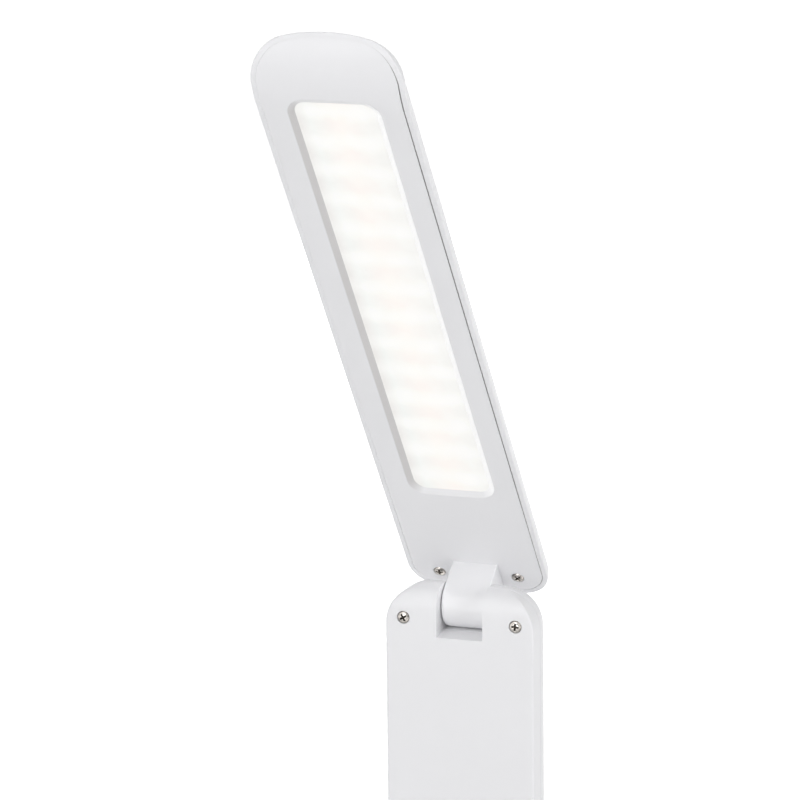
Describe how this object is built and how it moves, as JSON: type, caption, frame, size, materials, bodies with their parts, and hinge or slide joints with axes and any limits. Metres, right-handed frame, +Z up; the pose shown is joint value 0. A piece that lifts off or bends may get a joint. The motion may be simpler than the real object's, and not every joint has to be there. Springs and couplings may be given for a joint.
{
  "type": "folding desk lamp",
  "caption": "Slim folding desk lamp: weighted base, flat upright arm and a long light bar that hinges at both ends of the arm, with push buttons and a power inlet.",
  "frame": {"origin": "centre of the rubber pad's underside, where the lamp stands", "axes": "+Z up along the arm; -Y to the front, where the head reaches and the buttons are; +X to the right seen from the front"},
  "size_m": [0.105, 0.185, 0.4943],
  "materials": {
    "white_plastic": "moulded, semi-gloss",
    "frame_plastic": "moulded, plain",
    "diffuser_plastic": "milky, translucent, fine satin",
    "button_plastic": "moulded, satin",
    "black_plastic": "moulded, fine grain",
    "circuit_board": "solder mask over glass laminate",
    "led_board": "white solder mask over aluminium",
    "cool_led": "encapsulated, yellow phosphor",
    "warm_led": "encapsulated, amber phosphor",
    "lead_sheath": "extruded, soft",
    "rubber": "moulded, matt",
    "ballast_steel": "mill finish",
    "screw_nickel": "nickel plated",
    "hinge_steel": "zinc plated"
  },
  "bodies": {
    "base": {"base_shell": "white_plastic", "base_plate": "white_plastic", "rubber_pad": "rubber", "base_screws": "hinge_steel", "ballast_plate": "ballast_steel", "control_board": "circuit_board", "board_components": "black_plastic", "board_screws": "hinge_steel", "power_switch": "black_plastic", "tone_switch": "black_plastic", "power_inlet": "black_plastic", "inlet_lead": "lead_sheath", "base_lead": "lead_sheath", "base_knuckle": "white_plastic", "knuckle_bolts": "hinge_steel", "base_hinge_pin": "hinge_steel", "base_friction_washers": "hinge_steel", "base_disc_spring": "hinge_steel", "base_hinge_nut": "hinge_steel"},
    "arm": {"arm_back_shell": "white_plastic", "arm_front_cover": "white_plastic", "arm_upper_screws": "screw_nickel", "arm_lower_screws": "screw_nickel", "arm_lead": "lead_sheath", "head_hinge_brackets": "hinge_steel", "head_bracket_screws": "hinge_steel", "base_hinge_brackets": "hinge_steel", "base_bracket_screws": "hinge_steel"},
    "head": {"head_shell": "white_plastic", "head_cover": "white_plastic", "head_screws": "screw_nickel", "diffuser": "diffuser_plastic", "light_frame": "frame_plastic", "led_board": "led_board", "cool_leds": "cool_led", "warm_leds": "warm_led", "head_lead": "lead_sheath", "head_knuckle": "white_plastic", "knuckle_screws": "hinge_steel", "head_hinge_pin": "hinge_steel", "head_friction_washers": "hinge_steel", "head_disc_spring": "hinge_steel", "head_hinge_nut": "hinge_steel"},
    "power_button": {"power_button": "button_plastic", "power_plunger": "black_plastic"},
    "tone_button": {"tone_button": "button_plastic", "tone_plunger": "black_plastic"}
  },
  "joints": [
    {"name": "arm_fold", "type": "hinge", "parent": "base", "child": "arm", "pos_m": [0, 0.068, 0.0415], "axis": [1, 0, 0], "range_deg": [-15, 90]},
    {"name": "head_tilt", "type": "hinge", "parent": "arm", "child": "head", "pos_m": [0, 0.068, 0.2915], "axis": [1, 0, 0], "range_deg": [-36.5, 143.5]},
    {"name": "power_press", "type": "slide", "parent": "base", "child": "power_button", "axis": [0, 0, -1], "range_m": [0, 0.0006], "stiffness_N_per_m": 400, "springref_m": -0.001},
    {"name": "tone_press", "type": "slide", "parent": "base", "child": "tone_button", "axis": [0, 0, -1], "range_m": [0, 0.0006], "stiffness_N_per_m": 400, "springref_m": -0.001}
  ]
}
